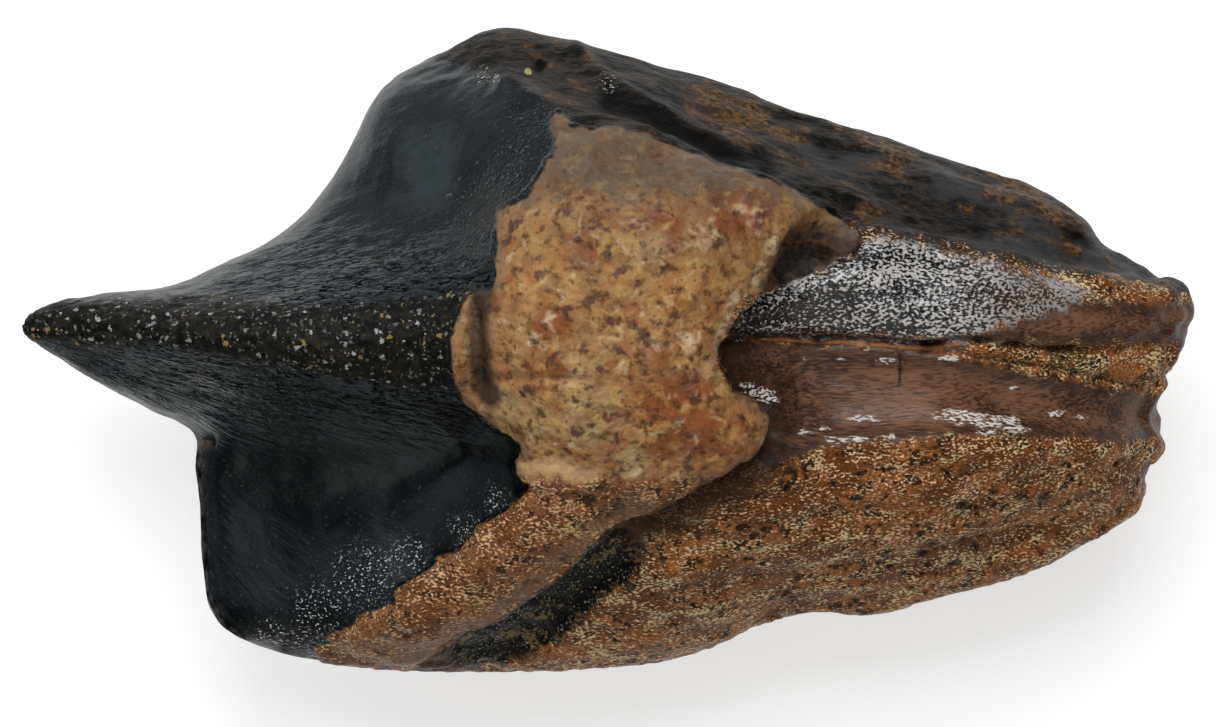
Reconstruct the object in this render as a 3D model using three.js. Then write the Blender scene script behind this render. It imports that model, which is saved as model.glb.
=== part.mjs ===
// A fossil cheek tooth of a horned dinosaur, in one piece: a black enamel crown with a
// keel down its middle, a swollen tan neck, and a fluted brown root that ends in a break.
// It lies on its back, on the flat facet that chewing wore there, with the enamel face up.
// Millimetres. +X runs from the keel's tip to the root's break, +Z is up.
import * as THREE from "three";
import { mergeVertices } from "three/addons/utils/BufferGeometryUtils.js";

// Driving dimensions
const LENGTH = 51; // keel tip to root break
const WIDTH = 28.2; // across the crown, margin to margin
const HEIGHT = 20.4; // wear facet to the top of the neck
const RIM_POWER = 9; // higher turns the surface over more sharply at the girdle
const FACE_ABOVE_GIRDLE = 3.4; // how far the face still stands over the girdle at its edge
const BACK_BELOW_GIRDLE = 4.4; // the same, down to the back
const TIP_SHARE = 0.15; // both shrink to this share at the keel's sharp tip
const TIP_X = -25.5; // where the keel's tip is
const CROWN_X = -15; // where the crown reaches its full depth
const EDGE_CUTS = 21; // cuts along each edge of the icosahedron that the skin starts from
const MIDDLE = new THREE.Vector2(-2, 0); // plan point under the neck that every girdle point sees

// The girdle is the widest line round the tooth, seen from above, with its height over the facet.
const GIRDLE = [
  // root break and the long upper side wall
  [25.5, 1.7, 9.2], [24.6, 2.9, 8.9], [22.1, 4.3, 8.2], [20.8, 5.9, 7.9], [19.4, 6.7, 7.6],
  [12.8, 9.1, 7.0], [4.1, 11.9, 6.6], [-2.5, 13.8, 6.4],
  // upper corner of the crown, then the hollow flank down to the keel
  [-4.2, 14.1, 6.4], [-5.4, 13.9, 6.6], [-6.8, 13.1, 6.8], [-9.5, 11.7, 7.2], [-10.3, 10.6, 7.4],
  [-11.1, 8.8, 7.6], [-12.6, 6.5, 8.0], [-14.5, 4.8, 8.6], [-16.7, 3.7, 9.2], [-18.8, 2.8, 9.7],
  // the keel's tip
  [-21.0, 2.5, 10.2], [-23.6, 2.2, 10.9], [-24.9, 1.7, 11.3], [-25.5, 1.0, 11.4], [-25.0, 0.5, 11.2],
  [-22.1, -1.4, 10.2], [-18.5, -3.4, 9.2],
  // lower corner of the crown
  [-18.2, -4.2, 9.0], [-17.7, -5.8, 8.8], [-17.5, -9.5, 8.3], [-17.0, -11.7, 8.0], [-15.2, -12.9, 7.8],
  [-11.0, -13.8, 7.5], [-5.7, -14.1, 7.3],
  // lower side of the root, back to the break
  [1.0, -13.8, 7.1], [5.2, -13.0, 7.0], [7.4, -12.0, 6.9], [9.2, -11.5, 6.8], [11.6, -11.5, 6.8],
  [14.6, -10.7, 7.0], [19.4, -9.3, 7.4], [22.3, -7.6, 7.7], [23.5, -6.0, 8.0], [23.5, -5.0, 8.2],
  [24.1, -4.0, 8.3], [24.5, -1.0, 8.8],
];

// Lines that the upper surface is stretched over, each a run of points on one ridge or hollow.
const FACE_LINES = {
  keelCrest: [
    [-24.6, 1.1, 12.3], [-23.4, 1.2, 12.9], [-22.1, 1.3, 13.4], [-20.7, 1.3, 13.9], [-19.2, 1.2, 14.4],
    [-17.7, 1.2, 14.9], [-15.6, 1.1, 15.6], [-13.4, 1.1, 16.2], [-9.0, 0.8, 17.2], [-6.6, 0.5, 17.9],
  ],
  upperFlank: [
    [-17.7, 2.4, 12.8], [-14.7, 3.3, 12.6], [-12.1, 5.0, 12.3], [-11.2, 7.0, 11.0], [-9.0, 4.8, 13.6],
    [-9.0, 7.9, 12.2], [-9.0, 10.5, 11.2], [-6.0, 6.5, 13.9], [-6.0, 9.6, 12.8],
  ],
  upperMargin: [
    [-6.6, 12.2, 10.6], [-4.4, 11.5, 12.6], [-2.5, 10.3, 14.2], [1.5, 9.3, 15.9], [6.7, 7.2, 16.8],
    [10.6, 5.0, 16.2], [17.2, 3.8, 15.0], [21.5, 3.3, 13.4],
  ],
  upperWall: [
    [-2.0, 12.4, 10.6], [4.1, 10.4, 11.6], [8.4, 8.5, 12.0], [12.8, 7.0, 12.0], [17.2, 5.8, 11.6],
    [20.2, 5.0, 11.0],
  ],
  lowerFlank: [
    [-21.7, -0.3, 12.0], [-17.7, -2.0, 12.4], [-15.1, -3.9, 12.1], [-12.1, -5.9, 11.8], [-8.1, -5.2, 13.0],
    [-5.5, -4.6, 14.2],
  ],
  lowerMargin: [
    [-16.7, -6.5, 11.0], [-16.2, -10.0, 10.5], [-13.4, -11.1, 10.9], [-10.8, -10.5, 12.0],
    [-7.7, -9.2, 13.0],
  ],
  neckUpperLobe: [
    [-4.4, 5.2, 17.2], [-2.0, 4.4, 19.4], [1.5, 4.1, 20.3], [5.0, 3.7, 19.8], [8.0, 5.0, 18.2],
    [0.6, 7.4, 18.4], [5.0, 6.3, 18.6], [-4.7, 0.4, 18.9], [-0.3, 0.4, 20.0], [4.1, 0.9, 19.3],
  ],
  neckLowerLobe: [
    [-2.0, -2.6, 18.9], [2.3, -2.6, 19.2], [6.0, -3.5, 18.2], [-0.3, -5.0, 17.6], [4.1, -5.2, 17.2],
  ],
  neckTail: [
    [-2.0, -6.8, 16.8], [-5.1, -9.0, 15.3], [-8.1, -11.4, 14.0], [-10.3, -12.7, 12.6],
  ],
  hollowUnderTail: [
    [1.5, -8.5, 14.6], [-2.0, -10.5, 13.1], [-5.1, -12.4, 12.0],
  ],
  rootBehindNeck: [
    [8.4, 2.6, 16.7], [7.2, 0.2, 16.2], [8.4, -2.2, 15.8],
  ],
  rootUpperLobe: [
    [12.8, 4.1, 15.6], [11.9, 1.7, 16.4], [17.2, 1.4, 15.7], [21.5, 1.4, 14.2],
  ],
  rootChannel: [
    [11.9, -1.7, 15.3], [17.2, -1.8, 14.5], [21.5, -2.2, 13.1],
  ],
  rootRidge: [
    [8.4, -4.7, 16.0], [12.8, -4.2, 15.7], [17.2, -4.2, 15.0], [21.5, -4.6, 13.4],
  ],
  rootLowerSide: [
    [3.2, -9.2, 14.6], [8.4, -8.3, 14.3], [13.7, -7.6, 13.8], [18.5, -6.5, 13.0], [1.5, -12.0, 12.0],
    [6.7, -10.5, 11.9], [12.8, -9.6, 11.2], [18.5, -8.1, 10.6],
  ],
};

// Lines of the back. Where the sheet dips under zero, wear has cut it off flat.
const BACK_LINES = {
  wearFacet: [
    [-13.4, -3.1, -0.3], [-12.1, 0.9, -0.3], [-9.0, -7.4, -0.4], [-7.7, 4.8, -0.4], [-3.8, 0.9, -0.8],
    [-2.0, -9.2, -0.3], [-2.0, 7.9, -0.3], [4.1, 0.9, -0.9], [4.1, -7.4, -0.4], [5.8, 5.7, -0.3],
    [11.1, 0.9, -0.6], [11.9, -4.8, -0.4], [16.3, -1.3, -0.2],
  ],
  underKeel: [
    [-24.5, 1.0, 10.2], [-22.1, 0.7, 8.1], [-19.5, 0.3, 5.6], [-16.9, -0.1, 2.9], [-14.9, -0.9, 0.8],
  ],
  rootBreak: [
    [19.8, -1.3, 1.4], [22.4, -0.9, 3.6],
  ],
};

// Solves a square system of equations in place by elimination with row swaps.
function solve(rows) {
  const size = rows.length;
  for (let pivot = 0; pivot < size; pivot++) {
    let best = pivot;
    for (let r = pivot + 1; r < size; r++) {
      if (Math.abs(rows[r][pivot]) > Math.abs(rows[best][pivot])) best = r;
    }
    [rows[pivot], rows[best]] = [rows[best], rows[pivot]];
    for (let r = 0; r < size; r++) {
      if (r === pivot) continue;
      const share = rows[r][pivot] / rows[pivot][pivot];
      for (let c = pivot; c <= size; c++) rows[r][c] -= share * rows[pivot][c];
    }
  }
  return rows.map((row, i) => row[size] / row[i]);
}

// The height of a thin springy sheet that bends through all the points, as a function of x and y.
function sheetThrough(points) {
  const bend = (dx, dy) => {
    const square = dx * dx + dy * dy;
    return square > 0 ? square * Math.log(square) : 0;
  };
  const plane = ([x, y]) => [1, x, y];
  const rows = points.map((p) => [...points.map((q) => bend(p[0] - q[0], p[1] - q[1])), ...plane(p), p[2]]);
  for (let term = 0; term < 3; term++) rows.push([...points.map((q) => plane(q)[term]), 0, 0, 0, 0]);
  const weights = solve(rows);
  const [level, slopeX, slopeY] = weights.slice(points.length);
  return (x, y) =>
    points.reduce((z, p, i) => z + weights[i] * bend(x - p[0], y - p[1]), level + slopeX * x + slopeY * y);
}

// Pushes every point of a unit ball out to the tooth's skin. The ball's equator becomes the girdle,
// its upper half the face and its lower half the back.
function toothGeometry() {
  const girdle = new THREE.CatmullRomCurve3(
    GIRDLE.map((p) => new THREE.Vector3(...p)), true, "centripetal",
  );
  girdle.arcLengthDivisions = 20 * GIRDLE.length;
  const share = (x) => THREE.MathUtils.lerp(TIP_SHARE, 1, THREE.MathUtils.smoothstep(x, TIP_X, CROWN_X));
  const raised = (by) => GIRDLE.map(([x, y, z]) => [x, y, z + by * share(x)]);
  const face = sheetThrough([...Object.values(FACE_LINES).flat(), ...raised(FACE_ABOVE_GIRDLE)]);
  const back = sheetThrough([...Object.values(BACK_LINES).flat(), ...raised(-BACK_BELOW_GIRDLE)]);

  const ball = new THREE.IcosahedronGeometry(1, EDGE_CUTS);
  ball.deleteAttribute("normal");
  ball.deleteAttribute("uv");
  const geometry = mergeVertices(ball);
  const position = geometry.getAttribute("position");
  const point = new THREE.Vector3();
  const plan = new THREE.Vector2();
  for (let i = 0; i < position.count; i++) {
    point.fromBufferAttribute(position, i);
    const out = Math.min(1, Math.hypot(point.x, point.y));
    const around = Math.atan2(point.y, point.x) / (2 * Math.PI);
    const edge = girdle.getPointAt((around + 1) % 1);
    plan.copy(MIDDLE).lerp(edge, out);
    const sheet = point.z >= 0 ? face(plan.x, plan.y) : back(plan.x, plan.y);
    const turnOver = Math.sqrt(1 - out ** RIM_POWER);
    position.setXYZ(i, plan.x, plan.y, Math.max(0, edge.z + (sheet - edge.z) * turnOver));
  }
  return geometry;
}

// Brings the skin to the driving dimensions, with the origin under its middle on the facet.
function fitted(geometry) {
  geometry.computeBoundingBox();
  const size = geometry.boundingBox.getSize(new THREE.Vector3());
  const centre = geometry.boundingBox.getCenter(new THREE.Vector3());
  geometry.translate(-centre.x, -centre.y, -geometry.boundingBox.min.z);
  geometry.scale(LENGTH / size.x, WIDTH / size.y, HEIGHT / size.z);
  geometry.computeVertexNormals();
  return geometry;
}

const fossil = new THREE.MeshStandardMaterial({ color: 0x3d3128, roughness: 0.5, metalness: 0 });
const tooth = new THREE.Mesh(fitted(toothGeometry()), fossil);
tooth.name = "tooth";

const part = new THREE.Group();
part.add(tooth);
export default part;
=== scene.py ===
# %% [markdown]
# # A fossil tooth, from one smooth solid to a finished stone
# The tooth is one piece of mineral: a black enamel crown with a keel, a swollen tan neck and a
# fluted brown root. The frame holds its true size and its smooth form. This lesson adds what a hand
# lens would show on that form, and then paints it with one procedural material.

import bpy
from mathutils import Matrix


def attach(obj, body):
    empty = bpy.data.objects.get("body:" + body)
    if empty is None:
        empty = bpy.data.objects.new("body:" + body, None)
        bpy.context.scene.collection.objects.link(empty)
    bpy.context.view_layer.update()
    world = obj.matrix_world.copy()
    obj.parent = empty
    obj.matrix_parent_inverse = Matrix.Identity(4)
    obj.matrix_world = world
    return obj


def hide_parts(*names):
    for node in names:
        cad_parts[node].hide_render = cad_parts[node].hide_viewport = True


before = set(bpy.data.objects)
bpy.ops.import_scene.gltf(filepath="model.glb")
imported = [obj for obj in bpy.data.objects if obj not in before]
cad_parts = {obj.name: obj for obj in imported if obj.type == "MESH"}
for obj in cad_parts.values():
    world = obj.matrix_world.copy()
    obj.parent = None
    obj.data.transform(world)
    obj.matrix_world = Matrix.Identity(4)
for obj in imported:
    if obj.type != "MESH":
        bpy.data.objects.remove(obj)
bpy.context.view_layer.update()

# %% Bring in the tools
import math

import bmesh
import bpy
import numpy as np
from mathutils import Matrix, Vector, noise

MM = 0.001  # a millimetre in metres, which the frame is in
scene = bpy.context.scene
print("a millimetre is", MM, "in", scene.name)

# %% [markdown]
# ## A blank to carve
# The solid's facets are about a millimetre long, too coarse to carve. Subdividing them would keep
# their uneven pattern. A voxel remesh lays an even grid of small squares over the same form instead,
# which takes a chisel equally well everywhere. The work is done in millimetres and scaled back at the
# end, because such small voxels are awkward in metres.

# %% Cut the blank
VOXEL = 0.135  # mm, about three pixels of the picture


def with_modifier(piece, kind, **settings):
    """Runs one modifier on a piece and keeps its result as the piece's mesh."""
    modifier = piece.modifiers.new(kind, kind)
    for name, value in settings.items():
        setattr(modifier, name, value)
    graph = bpy.context.evaluated_depsgraph_get()
    made = bpy.data.meshes.new_from_object(piece.evaluated_get(graph))
    piece.modifiers.clear()
    piece.data = made


def blank_of(node, name):
    """An even, fine copy of a node, in millimetres."""
    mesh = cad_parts[node].data.copy()
    mesh.transform(Matrix.Scale(1 / MM, 4))
    welder = bmesh.new()
    welder.from_mesh(mesh)
    bmesh.ops.remove_doubles(welder, verts=welder.verts, dist=VOXEL / 100)
    welder.to_mesh(mesh)
    welder.free()
    piece = bpy.data.objects.new(name, mesh)
    scene.collection.objects.link(piece)
    with_modifier(piece, "REMESH", mode="VOXEL", voxel_size=VOXEL)
    return piece


tooth = blank_of("tooth", "fossil_tooth")
print("blank has", len(tooth.data.vertices), "corners")

# %% [markdown]
# ## Reading the mesh as arrays
# Carving point by point in a loop would be slow, so the corners go into arrays. Two small tools
# do most of the work: the mean of each corner's neighbours, which softens anything that lives on the
# skin, and a smooth step, which turns a distance into a soft edge.


# %% Array tools
def corners_of(mesh):
    """The corners' places, one row each."""
    flat = np.empty(len(mesh.vertices) * 3, np.float32)
    mesh.vertices.foreach_get("co", flat)
    return flat.reshape(-1, 3).astype(float)


def normals_of(mesh):
    """The corners' outward directions, one row each."""
    flat = np.empty(len(mesh.vertices) * 3, np.float32)
    mesh.vertices.foreach_get("normal", flat)
    return flat.reshape(-1, 3).astype(float)


def edges_of(mesh):
    """The two corners of each edge, one row each."""
    flat = np.empty(len(mesh.edges) * 2, np.int32)
    mesh.edges.foreach_get("vertices", flat)
    return flat.reshape(-1, 2)


def evened(values, edges, times):
    """Moves each corner's values halfway to its neighbours' mean, again and again."""
    count = len(values)
    start, end = edges.T
    neighbours = np.bincount(start, minlength=count) + np.bincount(end, minlength=count)
    columns = values.reshape(count, -1).T.copy()
    for _ in range(times):
        for i, column in enumerate(columns):
            total = np.bincount(start, column[end], count) + np.bincount(end, column[start], count)
            columns[i] = (column + total / neighbours) / 2
    return columns.T.reshape(values.shape)


def ease(values, low, high):
    """0 below low, 1 above high, and a smooth rise between."""
    share = np.clip((values - low) / (high - low), 0, 1)
    return share * share * (3 - 2 * share)


def hump(distance, width):
    """1 on a line, falling to nothing a little over a width away."""
    return np.exp(-((distance / width) ** 2))


edges = edges_of(tooth.data)
spots = evened(corners_of(tooth.data), edges, 6)
spots[:, 2] -= spots[:, 2].min()
tooth.data.vertices.foreach_set("co", spots.astype(np.float32).ravel())
tooth.data.update()
facing = normals_of(tooth.data)
print("blank spans", np.ptp(spots, axis=0).round(2), "mm")

# %% [markdown]
# ## A map of the tooth
# Crust, cracks and ridges all follow lines that are easiest to draw from above, the way the tooth is
# looked at. Each line below is a short run of points in millimetres, x towards the root
# and y across, and a spline rounds it. The distance from every corner to a line is then the one thing
# that both the carving and the painting need.

# %% Lines of the neck and the crown
NECK_OUTLINE = [
    # left knob and the upper lobe's left side
    (-6.7, -0.3), (-6.6, 0.9), (-6.0, 2.3), (-5.3, 2.6), (-4.7, 2.9), (-4.7, 5.9), (-3.4, 6.5),
    (-2.7, 7.9), (-2.2, 8.6), (-2.5, 10.0), (-1.6, 10.1), (-1.4, 9.5), (0.3, 9.6), (1.3, 9.4),
    # along the upper margin to the right point
    (2.8, 8.8), (4.3, 8.2), (7.3, 7.2), (9.6, 5.9), (11.0, 4.7), (10.1, 4.0), (9.0, 3.3), (7.3, 2.7),
    (6.2, 2.3), (5.6, 1.7), (5.2, 0.9), (4.7, -0.3), (5.3, -1.6), (6.1, -2.0), (6.7, -2.6),
    # lower lobe, then down the right side of the tail
    (7.0, -3.2), (6.8, -3.9), (6.4, -4.5), (5.6, -5.0), (3.6, -6.2), (2.0, -6.9), (-0.1, -7.9),
    (-1.2, -9.0), (-2.6, -10.2), (-4.8, -11.8), (-6.1, -12.3), (-6.8, -12.9), (-7.9, -13.6),
    # past the tail's end and back up its ragged left side
    (-9.3, -14.4), (-11.9, -14.2), (-12.8, -13.1), (-11.9, -12.7), (-12.2, -12.5), (-11.2, -12.0),
    (-10.4, -11.4), (-9.3, -11.0), (-9.1, -10.4), (-7.5, -9.3), (-7.3, -8.9), (-6.4, -8.6),
    (-5.4, -7.6), (-3.4, -6.1), (-3.7, -5.5), (-3.9, -4.8), (-3.6, -4.1), (-4.3, -3.6), (-5.2, -3.1),
    (-6.1, -2.2), (-6.5, -1.4),
]
ENAMEL_OUTLINE = [
    (-40, -40), (-12, -40), (-12.4, -15.4), (-10.6, -13.6), (-6.4, -9.6), (-2.2, -6.2), (0, 0), (-1, 9),
    (-2.5, 10.4), (-3.4, 11.3), (-5.6, 12.1), (-7.4, 12.7), (-9.4, 13.6), (-10.5, 15), (-14, 40),
    (-40, 40),
]
KEEL_BAND = [
    (-25.6, 1.0), (-24.8, 1.7), (-22.5, 2.2), (-17.9, 2.4), (-12.6, 2.0), (-8.6, 2.2), (-5.5, 2.6),
    (-5.5, -1.4), (-6.8, -1.5), (-8.6, -1.75), (-11.3, -1.2), (-15.3, -0.6), (-19.2, 0.1), (-22.5, 0.1),
    (-25.0, 0.5),
]
KNOB_CREASE = [(-5.3, 2.3), (-5.5, 0.9), (-5.4, -0.7), (-5.0, -2.0)]
NECK_CREASE = [(-4.7, -0.9), (-2.9, -1.0), (0.1, -1.1)]
POINT_HOLLOW = [
    (7.2, 4.8), (8.0, 5.3), (9.1, 5.6), (10.0, 5.2), (10.8, 4.2), (9.4, 2.9), (7.6, 2.1), (6.4, 2.2),
    (6.6, 3.7),
]
PALE_EDGE = [(7.2, 4.8), (6.6, 3.4), (5.5, 2.0), (5.0, 0.7)]
LEDGE = [(-3.8, -4.7), (-2.0, -4.6), (-0.3, -5.0), (-0.4, -5.7), (-2.0, -5.9), (-3.6, -5.6)]
print("neck is drawn with", len(NECK_OUTLINE), "points")

# %% Lines of the root and its wall
TAIL_HOLLOW = [
    (-7.4, -12.7), (-5.3, -11.6), (-3.5, -10.3), (-2.0, -9.0), (-0.6, -8.0), (0.8, -7.8), (1.5, -8.6),
    (1.2, -9.7), (-0.2, -10.9), (-2.0, -12.5), (-3.6, -13.5), (-6.0, -13.9),
]
UPPER_MARGIN = [
    (-4.4, 11.7), (-3.1, 10.9), (-1.9, 10.4), (-0.3, 9.8), (1.7, 9.5), (5.8, 7.8), (8.6, 6.5), (10.6, 5.3),
    (17.2, 4.0), (20.8, 3.3), (24.7, 2.5),
]
WALL_CREASE = [(-1.4, 13.1), (-0.4, 12.2), (0.6, 11.4), (3.2, 9.9), (6.4, 8.2)]
ROOT_CRACK = [(4.6, 0.6), (10.8, 0.3), (13.8, 0.1), (15.2, 0.3), (17.2, 0.2), (19.8, -0.1), (24.2, 0.0)]
PLATE_EDGE = [(13.9, 0.1), (15.9, -0.3), (18.9, -0.8), (22.2, -1.4), (24.0, -1.8)]
ROOT_RIDGE = [(6.6, -5.2), (9.8, -4.4), (13.3, -4.1), (18.1, -4.1), (23.6, -4.3)]
LOBE = [
    (5.2, 0.5), (6.4, 2.6), (9.1, 3.6), (11.0, 4.8), (12.8, 4.9), (17.2, 3.8), (20.6, 2.9), (21.0, 2.3),
    (19.2, 1.5), (16.6, 0.7), (14.4, 0.2), (8.4, 0.4),
]
CHANNEL = [
    (4.6, 0.6), (8.4, 0.4), (12.8, 0.1), (15.9, -0.3), (18.9, -1.0), (22.2, -1.6), (24.4, -2.0),
    (24.2, -4.0), (18.1, -3.8), (13.3, -3.9), (9.8, -4.2), (6.6, -5.0), (6.0, -3.2), (5.4, -2.0),
]
SPLIT = [(12.6, -0.1), (12.65, -1.0), (12.6, -1.7)]
WALL_FOOT = [(0.2, 10.7), (2.2, 9.9), (4.4, 8.9), (6.8, 7.8)]

# Gaps in the rim: x, y and size
NOTCH = [(-18.3, -3.9, 1.0)]
HOLES = [(-17.4, -4.1, 0.32), (-2.9, 12.4, 0.34)]
print("root's crack is drawn from", ROOT_CRACK[0], "to", ROOT_CRACK[-1])


# %% Distances to those lines
def rounded(points, closed=False, steps=3):
    """A smooth curve through the points, as a finer run of points."""
    points = np.array(points, float)
    ends = points[[-1]], points[:2]
    if not closed:
        ends = 2 * points[[0]] - points[[1]], 2 * points[[-1]] - points[[-2]]
    p = np.vstack([ends[0], points, ends[1]])
    t = np.linspace(0, 1, steps, endpoint=False)[:, None]
    runs = [
        0.5 * (2 * b + (c - a) * t + (2 * a - 5 * b + 4 * c - d) * t**2 + (3 * b - a - 3 * c + d) * t**3)
        for a, b, c, d in zip(p, p[1:], p[2:], p[3:])
    ]
    return np.vstack(runs + ([] if closed else [points[-1:]]))


def along(spots, points, closed=False):
    """Each corner's distance to a line seen from above, and how far along the line that is."""
    line = rounded(points, closed)
    heads, tails = (line, np.roll(line, -1, axis=0)) if closed else (line[:-1], line[1:])
    nearest = np.full(len(spots), np.inf)
    progress = np.zeros(len(spots))
    for i, (head, tail) in enumerate(zip(heads, tails)):
        run = tail - head
        away = spots[:, :2] - head
        share = np.clip(away @ run / (run @ run), 0, 1)
        square = ((away - share[:, None] * run) ** 2).sum(axis=1)
        closer = square < nearest
        nearest = np.where(closer, square, nearest)
        progress = np.where(closer, (i + share) / len(heads), progress)
    return np.sqrt(nearest), progress


def within(spots, points):
    """Each corner's distance to an outline seen from above, positive inside it."""
    line = rounded(points, closed=True)
    x, y = spots[:, 0], spots[:, 1]
    inside = np.zeros(len(spots), bool)
    for (x0, y0), (x1, y1) in zip(line, np.roll(line, -1, axis=0)):
        if y0 != y1:
            crosses = (y0 > y) != (y1 > y)
            inside ^= crosses & (x < x0 + (y - y0) * (x1 - x0) / (y1 - y0))
    return np.where(inside, 1, -1) * along(spots, points, closed=True)[0]


def patches(spots, middles, stretch=1.0):
    """1 in the middle of any of some patches seen from above, falling to 0 around them."""
    away = [hump(np.hypot((spots[:, 0] - x) / stretch, spots[:, 1] - y), size) for x, y, size in middles]
    return np.max(away, axis=0)


def lumps(spots, size, stretch=(1, 1, 1), octaves=3, shift=0.0):
    """Fractal noise from about -1 to 1 whose lumps have a size in millimetres."""
    scaled = spots / (size * np.array(stretch)) + shift
    return np.array([noise.fractal(row, 1.0, 2.0, octaves) for row in scaled.tolist()])


print("neck outline is", len(rounded(NECK_OUTLINE, closed=True)), "points round")

# %% [markdown]
# ## Areas of the skin
# Enamel, crust and the parts of the root differ in relief and in finish. The enamel ends on the sides
# a little below the girdle, and the worn back is dentine, so an area is a place on the map together
# with the way the skin faces there. All areas are worked out in one function, because they are
# needed twice: on the blank for carving, and on the finished mesh for painting.

# %% Find the areas
FAN_APEX = np.array([-26.5, 1.1])  # the enamel's wrinkles spread from just outside the keel's tip
KEEL_Y = 0.6  # mm, the keel's middle line
ENAMEL_FOOT = 5.2  # mm over the facet, where the enamel thins out on the sides


def areas_of(spots, facing):
    """Distances in millimetres and shares from 0 to 1, by the name of the area they belong to."""
    x, y, z = spots.T
    up = ease(facing[:, 2], -0.35, 0.05)
    ragged = lumps(spots, 0.9, octaves=4)
    crust = within(spots, NECK_OUTLINE) + 0.14 * ragged
    enamel = within(spots, ENAMEL_OUTLINE)
    margin, _ = along(spots, UPPER_MARGIN)
    margin_y = np.interp(x, *np.array(UPPER_MARGIN).T)
    fan = np.hypot(x - FAN_APEX[0], y - FAN_APEX[1])
    return {
        "up": up,
        "crust": np.where(up > 0.5, crust, -5),
        "enamel": np.minimum(enamel, z - ENAMEL_FOOT + 0.8 * ragged),
        "wall": (np.where(y > margin_y, margin, -margin) + 0.9 * ease(-x, -11, -8)) * ease(x, -16, -14),
        "keel": within(spots, KEEL_BAND) * up,
        "lobe": within(spots, LOBE) * up,
        "channel": within(spots, CHANNEL) * up,
        "tail_hollow": within(spots, TAIL_HOLLOW) * up,
        "fan": fan,
    }


areas = areas_of(spots, facing)
for name, values in areas.items():
    print(name, "from", values.min().round(2), "to", values.max().round(2))

# %% [markdown]
# ## Carving
# Everything that stands proud or lies deep by more than about a tenth of a millimetre is carved into
# the mesh, so that it shows in the outline and in a cast of the tooth: the neck's thick edge, the
# cracks along the root, the plates of the root's surface, the pits and the rough break. Each stroke
# is a height in millimetres along the skin's own direction, and all strokes are simply added up.

# %% Carve the neck
x, y, z = spots.T
up = areas["up"]
crust = areas["crust"]
point_hollow = ease(within(spots, POINT_HOLLOW), -0.1, 0.7) * up
on_crust = ease(crust, -0.05, 0.4) * ease(facing[:, 2], 0.05, 0.5) * (1 - point_hollow)
lift = np.zeros(len(spots))

# All in millimetres
CRUST_STEP = 0.75  # the neck's edge over the enamel
CRUST_UNDERCUT = 0.45  # the hollow that the root has right behind the neck
CRUST_SWELLS = 0.30
CRUST_BUMPS = 0.13
NECK_CREASES = [
    # line, depth and width
    (KNOB_CREASE, 0.75, 0.48),
    (NECK_CREASE, 0.22, 0.2),
]
POINT_DEPTH = 0.75
PALE_EDGE_HEIGHT = 0.22
LEDGE_HEIGHT = 0.30

lift += CRUST_STEP * on_crust * (0.2 + 0.8 * ease(y, -13.5, -9))
lift -= CRUST_UNDERCUT * hump(np.minimum(crust, 0), 0.7) * (1 - on_crust) * ease(x, 3.5, 5.5) * up
lift += on_crust * CRUST_SWELLS * lumps(spots, 2.6, octaves=2)
lift += on_crust * CRUST_BUMPS * lumps(spots, 0.9, shift=7.0)
for crease, depth, width in NECK_CREASES:
    distance, progress = along(spots, crease)
    lift -= depth * hump(distance, width) * ease(np.minimum(progress, 1 - progress), -0.05, 0.2) * up
lift -= POINT_DEPTH * point_hollow
lift += PALE_EDGE_HEIGHT * hump(along(spots, PALE_EDGE)[0], 0.3) * up
lift += LEDGE_HEIGHT * ease(within(spots, LEDGE), -0.15, 0.25) * up
print("neck lifts up to", lift.max().round(2), "mm")

# %% Carve the root
on_root = (1 - on_crust) * ease(x, 1, 6)
fibres = lumps(spots, 0.45, stretch=(9, 1, 1.5), octaves=3, shift=3.0)
flutes = lumps(spots, 1.5, stretch=(9, 1, 1.5), octaves=2, shift=11.0)
side_flutes = lumps(spots, 3.4, stretch=(6, 1, 1), octaves=2, shift=1.0)
in_channel = areas["channel"]
on_side = ease(-facing[:, 2], -0.7, -0.2)

# All in millimetres
FIBRE_HEIGHT = 0.06
FLUTE_HEIGHT = 0.24
SIDE_FLUTE_HEIGHT = 0.35
CHANNEL_DEPTH = 0.45
ROOT_CRACKS = [
    # line, depth and width
    (ROOT_CRACK, 0.75, 0.24),
    (PLATE_EDGE, 0.35, 0.2),
    (SPLIT, 0.25, 0.1),
]
RIDGE_HEIGHT = 0.40

lift += on_root * (FIBRE_HEIGHT * fibres + FLUTE_HEIGHT * flutes * ease(-in_channel, 0, 0.5))
lift += on_root * on_side * SIDE_FLUTE_HEIGHT * side_flutes
lift -= CHANNEL_DEPTH * ease(in_channel, -0.2, 1.4) * on_root
for line, depth, width in ROOT_CRACKS:
    distance, progress = along(spots, line)
    wavering = 0.75 + 0.5 * lumps(spots, 1.1, octaves=2, shift=5.0)
    lift -= depth * wavering * hump(distance, width) * ease(1 - progress, 0, 0.15) * on_root * up
lift += RIDGE_HEIGHT * hump(along(spots, ROOT_RIDGE)[0], 0.75) * on_root * up
print("root cuts down to", lift.min().round(2), "mm")

# %% Carve the rest of the skin
on_enamel = ease(areas["enamel"], -0.3, 0.3) * (1 - on_crust)
lower_root = ease(-in_channel, 0, 0.6) * (1 - on_enamel) * (1 - on_crust) * ease(-y, -1, 4)
on_wall = ease(areas["wall"], 0, 0.5) * (1 - on_crust)
in_hollow = ease(areas["tail_hollow"], -0.3, 0.5) * (1 - on_crust)
on_break = ease(x, 22.3, 24.2)

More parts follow.
